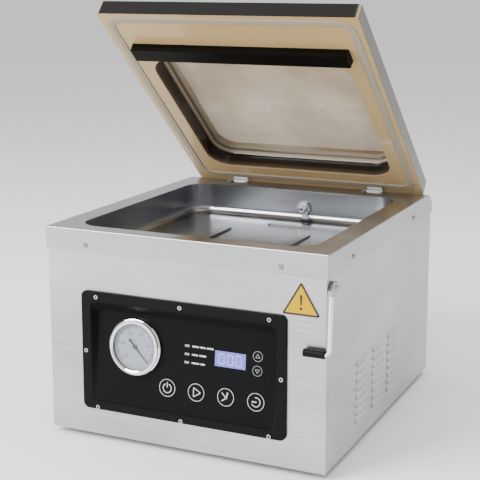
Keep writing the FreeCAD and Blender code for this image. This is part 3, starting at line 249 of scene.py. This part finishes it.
def rubbery(name, color, roughness=0.6, **inputs):
    made = Graph(name, color, roughness, **inputs)
    grain = made.noise(900.0, 2.0)
    made.set("Roughness", made.spread(grain, 0.3, 0.7, roughness - 0.08, roughness + 0.08))
    made.bump(grain, 0.15, 0.0001)
    return made.material


def dress(material, *names):
    """Give CAD nodes their material in every slot."""
    for name in names:
        mesh = nodes[name].data
        if not mesh.materials:
            mesh.materials.append(material)
        for n in range(len(mesh.materials)):
            mesh.materials[n] = material


WHITE = plain("print_white", (0.5, 0.5, 0.5), 0.5)
GREY_PRINT = plain("print_grey", (0.22, 0.22, 0.225), 0.5)
BLACK_PRINT = plain("print_black", (0.012, 0.012, 0.014), 0.5)
GLOW = Graph("display_glow", (0.3, 0.3, 0.9), 0.4, Emission_Color=(0.12, 0.11, 1.0, 1.0),
             Emission_Strength=0.9).material
PANEL = Graph("display_backlight", (0.1, 0.1, 0.3), 0.35, Emission_Color=(0.30, 0.31, 0.95, 1.0),
              Emission_Strength=0.55).material
CHROME = plain("polished_chrome", (0.86, 0.86, 0.87), 0.08, 1.0, 0.04)
FITTING = plain("plated_steel", (0.66, 0.66, 0.67), 0.22, 1.0)

dress(sheet_steel("housing_steel", (0.38, 0.38, 0.384), (0.62, 0.62, 0.625), 0.32), "housing_shell",
      "rear_panel")
dress(sheet_steel("deck_steel", (0.32, 0.325, 0.335), (0.48, 0.485, 0.5), 0.22), "deck_cover")
dress(steel_tub(), "chamber_tub")
dress(plain("zinc_plate", (0.52, 0.53, 0.54), 0.4, 0.9), "base_plate", "foot_screws", "shaft_brackets")
dress(plain("cover_screw_steel", (0.3, 0.3, 0.305), 0.3, 1.0), "cover_screws")
dress(plain("frame_screw_steel", (0.05, 0.05, 0.052), 0.35, 0.6), "frame_screws")
dress(FITTING, "hinge_shaft", "lid_bolts", "lift_rods", "vacuum_port")
dress(rubbery("foot_rubber", (0.012, 0.012, 0.012), **DULL), "rubber_feet")
dress(rubbery("panel_black", (0.008, 0.008, 0.0082), 0.4, **DULL), "panel_frame", "mains_inlet")
dress(plain("face_black", (0.0065, 0.0065, 0.0068), 0.28, **DULL), "control_face")
dress(plain("key_black", (0.0075, 0.0075, 0.0078), 0.26, **DULL), "key_power", "key_start", "key_stop",
      "key_timer", "key_up", "key_down")
dress(PANEL, "display_window")
dress(plain("lamp_smoke", (0.3, 0.29, 0.28), 0.3), "status_lights")
dress(plain("board_green", (0.02, 0.13, 0.05), 0.45), "circuit_board", "power_board")
dress(plain("black_steel", (0.02, 0.02, 0.02), 0.4), "gauge_case", "fan_cover")
dress(CHROME, "lever_rod", "gauge_bezel")
dress(plain("dial_white", (0.27, 0.30, 0.36), 0.5), "gauge_dial")
dress(plain("spring_steel", (0.4, 0.4, 0.42), 0.3, 1.0), "balance_springs", "lever_hub", "lever_screw")
dress(plain("cast_alloy", (0.62, 0.62, 0.63), 0.45, 0.35), "hinge_arms", "lift_cylinders")
dress(plain("pump_paint", (0.07, 0.09, 0.12), 0.45), "pump_body", "pump_motor")
dress(plain("core_varnish", (0.16, 0.1, 0.06), 0.4), "transformer")
dress(plain("valve_brass", (0.72, 0.52, 0.22), 0.28, 1.0), "solenoid_valves", "seal_terminals")
dress(rubbery("hose_black", (0.02, 0.02, 0.02), 0.45), "vacuum_hose")
dress(plain("copper", (0.75, 0.38, 0.22), 0.3, 1.0), "gauge_tube")
dress(plain("needle_black", (0.01, 0.01, 0.01), 0.5), "gauge_needle")
dress(lid_tinted(), "lid_panel")
dress(rubbery("gasket_white", (0.33, 0.285, 0.215), 0.45, **DULL), "lid_gasket")
dress(plain("holder_black", (0.004, 0.0034, 0.0028), 0.25, **DULL), "counter_holder")
dress(rubbery("strip_black", (0.004, 0.0034, 0.0028), 0.4, **DULL), "counter_strip")
dress(brushed("bar_alloy", (0.42, 0.42, 0.43), (0.58, 0.58, 0.6), 0.35, (0.5, 20, 20)), "seal_bar")
dress(plain("nichrome", (0.5, 0.48, 0.45), 0.25, 1.0), "heating_element")
dress(rubbery("tape_brown", (0.2, 0.12, 0.06), 0.5), "seal_tape")
dress(plain("grip_black", (0.008, 0.008, 0.008), 0.35, Specular_IOR_Level=0.06), "lever_grip")
dress(rubbery("fan_black", (0.03, 0.03, 0.03)), "motor_fan")
dress(warning_face(), "warning_plate")


def clear_glass():
    """Thin clear glass: mostly see-through with a faint reflection."""
    made = Graph("clear_glass", (0.95, 0.97, 1.0), 0.03, 0.0)
    made.set("Alpha", 0.03)
    return made.material


dress(clear_glass(), "gauge_glass")


# ---- prints and small raised marks ----

TILT = math.radians(5.26)
FACE_ORIGIN = Vector((0.0, -0.2085, 0.052))
FACE_UP = Vector((0.0, math.sin(TILT), math.cos(TILT)))
FACE_OUT = Vector((0.0, -math.cos(TILT), math.sin(TILT)))
ACROSS = Vector((1.0, 0.0, 0.0))


def on_face(u, v, out):
    """A point on the tilted face from millimetres across, up and out."""
    return FACE_ORIGIN + ACROSS * u / 1000 + FACE_UP * v / 1000 + FACE_OUT * out / 1000


def on_front(u, v, out):
    """A point on the flat front, from millimetres across, up and out."""
    return Vector((u / 1000, -0.207 - out / 1000, v / 1000))


def prints(name, outlines, low, high, material, body, where=on_face):
    """Thin raised marks from closed outlines; one object for the whole set."""
    points, faces = [], []
    for outline in outlines:
        start, count = len(points), len(outline)
        points += [where(u, v, low) for u, v in outline]
        points += [where(u, v, high) for u, v in outline]
        faces.append([start + n for n in reversed(range(count))])
        faces.append([start + count + n for n in range(count)])
        for n in range(count):
            after = (n + 1) % count
            faces.append([start + n, start + after, start + count + after, start + count + n])
    mesh = bpy.data.meshes.new(name)
    mesh.from_pydata(points, [], faces)
    mesh.materials.append(material)
    made = bpy.data.objects.new(name, mesh)
    bpy.context.scene.collection.objects.link(made)
    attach(made, body)


def arc(u, v, inner, outer, start=0.0, stop=360.0, steps=24):
    """Outlines of a ring or a part of one, in pieces that do not close on themselves."""
    pieces = 2 if stop - start > 300 else 1
    made = []
    for piece in range(pieces):
        first = start + (stop - start) * piece / pieces
        last = start + (stop - start) * (piece + 1) / pieces
        turns = [math.radians(first + (last - first) * n / steps) for n in range(steps + 1)]
        outside = [(u + outer * math.cos(t), v + outer * math.sin(t)) for t in turns]
        inside = [(u + inner * math.cos(t), v + inner * math.sin(t)) for t in reversed(turns)]
        made.append(outside + inside)
    return made


def stroke(u0, v0, u1, v1, width):
    """A straight line of a given width as an outline."""
    length = math.hypot(u1 - u0, v1 - v0)
    du, dv = (v0 - v1) / length * width / 2, (u1 - u0) / length * width / 2
    return [(u0 - du, v0 - dv), (u1 - du, v1 - dv), (u1 + du, v1 + dv), (u0 + du, v0 + dv)]


def bar(u, v, width, height):
    return [(u - width / 2, v - height / 2), (u + width / 2, v - height / 2),
            (u + width / 2, v + height / 2), (u - width / 2, v + height / 2)]


def triangle_lines(corners, width):
    return [stroke(*corners[n], *corners[(n + 1) % 3], width) for n in range(3)]


def key_marks():
    """A ring and a plain symbol on each key."""
    row, first, pitch, line = 29.5, -20.0, 38.7, 0.7
    spots = [first + pitch * n for n in range(4)]
    symbols = [
        arc(spots[0], row - 0.4, 4.9, 6.0, 115, 425)
        + [stroke(spots[0], row + 0.5, spots[0], row + 7, 1.1)],
        triangle_lines([(spots[1] - 3.4, row - 5.6), (spots[1] + 6.0, row),
                        (spots[1] - 3.4, row + 5.6)], 1.1),
        [stroke(spots[2] - 5, row + 5, spots[2] + 0.5, row - 1, 1.2),
         stroke(spots[2] - 5, row - 5, spots[2] + 0.5, row - 1, 1.2),
         stroke(spots[2] + 0.5, row - 2, spots[2] + 2.5, row + 6, 1.8)],
        arc(spots[3], row, 4.9, 6.0, -150, 105) + [bar(spots[3] - 2, row, 6, 1.6)],
    ]
    for name, u, symbol in zip(("power", "start", "stop", "timer"), spots, symbols):
        prints(f"mark_{name}", arc(u, row, 10.1, 10.1 + line) + symbol, 0.15, 0.2, WHITE, f"key_{name}")
    for name, v, side in (("up", 83.5, 1), ("down", 66.3, -1)):
        ring = arc(96.5, v, 5.6, 6.3)
        pointer = triangle_lines([(93.7, v - 1.6 * side), (99.3, v - 1.6 * side),
                                  (96.5, v + 2.8 * side)], 0.8)
        prints(f"mark_{name}", ring + pointer, 0.15, 0.2, GREY_PRINT, f"key_{name}")


def label_marks():
    """Short dashes beside each lamp in place of words."""
    widths = ((9, 7, 9), (8, 9), (10, 6))
    for n, row in enumerate(widths):
        u, outlines = 11.5, []
        for width in row:
            outlines.append(bar(u + width / 2, 84.3 - 10 * n, width, 2.0))
            u += width + 1.6
        prints(f"label_{n + 1}", outlines, 0.0, 0.05, WHITE, "housing")


def digits():
    """Three seven-segment noughts on the display."""
    outlines = []
    for n in range(3):
        u, v = 61.5 - 11 + 11 * n, 74.4
        outlines += [bar(u, v + 5.8, 5.6, 1.5), bar(u, v - 5.8, 5.6, 1.5)]
        outlines += [bar(u + side * 3.4, v + up * 3, 1.5, 5) for side in (-1, 1) for up in (-1, 1)]
    prints("display_digits", outlines, -0.1, -0.02, GLOW, "housing")


SCREW_SPOTS = [(u, v) for v in (44, 184) for u in (-114.5, 0, 114.5)] + [(-129.6, 115), (129.6, 115)]


def screw_highlight_rings():
    """Painted highlights: bright rims on the heads of the eight frame screws, in place of the glint along
    their edges.
    """
    outlines = []
    for u, v in SCREW_SPOTS:
        outlines += arc(u, v, 1.65, 2.45, steps=12)
    prints("frame_screw_highlight_rims", outlines, 3.86, 3.95, FITTING, "housing", on_front)


GAUGE = (-64.0, 74.3)
DIAL_LINE, FIGURE_LINE = 25.3, 17.6
PRINT_LOW, PRINT_HIGH = 2.3, 2.36


def dial_marks():
    """Tick marks, a thin arc and small figures on the dial."""
    ticks = []
    for n in range(51):
        angle = math.radians(-45 + 270 * n / 50)
        inner = 21.8 if n % 5 == 0 else 23.4
        width = 0.85 if n % 5 == 0 else 0.4
        ticks.append(stroke(GAUGE[0] + inner * math.cos(angle), GAUGE[1] + inner * math.sin(angle),
                            GAUGE[0] + DIAL_LINE * math.cos(angle), GAUGE[1] + DIAL_LINE * math.sin(angle),
                            width))
    prints("dial_ticks", ticks, PRINT_LOW, PRINT_HIGH, BLACK_PRINT, "housing")
    prints("dial_line", arc(*GAUGE, DIAL_LINE, 25.6, -45, 225, 60), PRINT_LOW, 2.35, BLACK_PRINT, "housing")
    prints("dial_unit", [bar(GAUGE[0], GAUGE[1] - 12.5, 8, 1.3), bar(GAUGE[0], GAUGE[1] + 7.5, 10, 0.9)],
           PRINT_LOW, PRINT_HIGH, GREY_PRINT, "housing")
    for n in range(6):
        angle = math.radians(-45 + 270 * n / 5)
        figure(str(20 * n), GAUGE[0] + FIGURE_LINE * math.cos(angle),
               GAUGE[1] + FIGURE_LINE * math.sin(angle), 5.0)


def figure(text, u, v, height):
    """A small printed number lying on the dial."""
    curve = bpy.data.curves.new("figure_" + text, "FONT")
    curve.body = text
    curve.size = height / 1000
    curve.align_x = "CENTER"
    curve.align_y = "CENTER"
    made = bpy.data.objects.new("figure_" + text, curve)
    curve.materials.append(BLACK_PRINT)
    bpy.context.scene.collection.objects.link(made)
    made.matrix_world = Matrix.Translation(on_face(u, v, PRINT_HIGH)) @ Matrix.Rotation(
        math.pi / 2 - TILT, 4, "X")
    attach(made, "housing")


def warning_marks():
    """Dark border and a plain exclamation mark on the triangle."""
    low, middle = 192.5, 152.0
    corners = [(130.6, low + 1.3), (173.4, low + 1.3), (middle, low + 37.2)]
    prints("warning_border", triangle_lines(corners, 2.2), 0.4, 0.45, BLACK_PRINT, "housing", on_front)
    strokes = [[(middle - 1.5, low + 24), (middle - 0.9, low + 12), (middle + 0.9, low + 12),
                (middle + 1.5, low + 24)], bar(middle, low + 8.2, 3, 3)]
    prints("warning_sign", strokes, 0.4, 0.45, BLACK_PRINT, "housing", on_front)


key_marks()
label_marks()
digits()
screw_highlight_rings()
dial_marks()
warning_marks()


# ---- stage ----

CAMERA_PLACE = (0.6246, -1.3985, 0.5702)
YAW, PITCH = math.radians(24.70), math.radians(-10.47)
LENS_MM, SHIFT_UP = 88.76, -0.1
WORLD_STRENGTH, KEY_WATTS, TOP_WATTS = 0.9, 110, 30

def floor():
    mesh = bpy.data.meshes.new("floor")
    wide = 40.0
    mesh.from_pydata([(-wide, -wide, 0), (wide, -wide, 0), (wide, wide, 0), (-wide, wide, 0)], [],
                     [(0, 1, 2, 3)])
    paper = Graph("floor_paper", (0.94, 0.94, 0.94), 0.9)
    grain = paper.noise(0.6, 2.0)
    paper.set("Roughness", paper.spread(grain, 0.3, 0.7, 0.88, 0.94))
    mesh.materials.append(paper.material)
    made = bpy.data.objects.new("floor", mesh)
    bpy.context.scene.collection.objects.link(made)


def area(name, place, target, size, power):
    """A soft box that points at a spot on the object."""
    lamp = bpy.data.lights.new(name, "AREA")
    lamp.shape = "RECTANGLE"
    lamp.size = size
    lamp.size_y = size
    lamp.energy = power
    made = bpy.data.objects.new(name, lamp)
    made.location = place
    made.rotation_euler = (Vector(target) - Vector(place)).to_track_quat("-Z", "Y").to_euler()
    bpy.context.scene.collection.objects.link(made)


def lights():
    world = bpy.data.worlds.new("studio")
    bpy.context.scene.world = world
    world.use_nodes = True
    backdrop = world.node_tree.nodes["Background"]
    backdrop.inputs["Color"].default_value = (1.0, 1.0, 1.0, 1.0)
    backdrop.inputs["Strength"].default_value = WORLD_STRENGTH
    area("key", (-1.2, -1.8, 1.7), (0, 0, 0.15), 1.4, KEY_WATTS)
    area("top", (0.3, 0.2, 2.2), (0, 0, 0.2), 1.6, TOP_WATTS)


def camera():
    lens = bpy.data.cameras.new("camera")
    lens.sensor_width = 36.0
    lens.lens = LENS_MM
    lens.shift_y = SHIFT_UP
    lens.clip_start = 0.05
    lens.clip_end = 200.0
    made = bpy.data.objects.new("camera", lens)
    ahead = Vector((-math.sin(YAW) * math.cos(PITCH), math.cos(YAW) * math.cos(PITCH), math.sin(PITCH)))
    right = Vector((math.cos(YAW), math.sin(YAW), 0.0))
    up = right.cross(ahead)
    turn = Matrix((right, up, -ahead)).transposed().to_4x4()
    made.matrix_world = Matrix.Translation(CAMERA_PLACE) @ turn
    bpy.context.scene.collection.objects.link(made)
    bpy.context.scene.camera = made


floor()
lights()
camera()
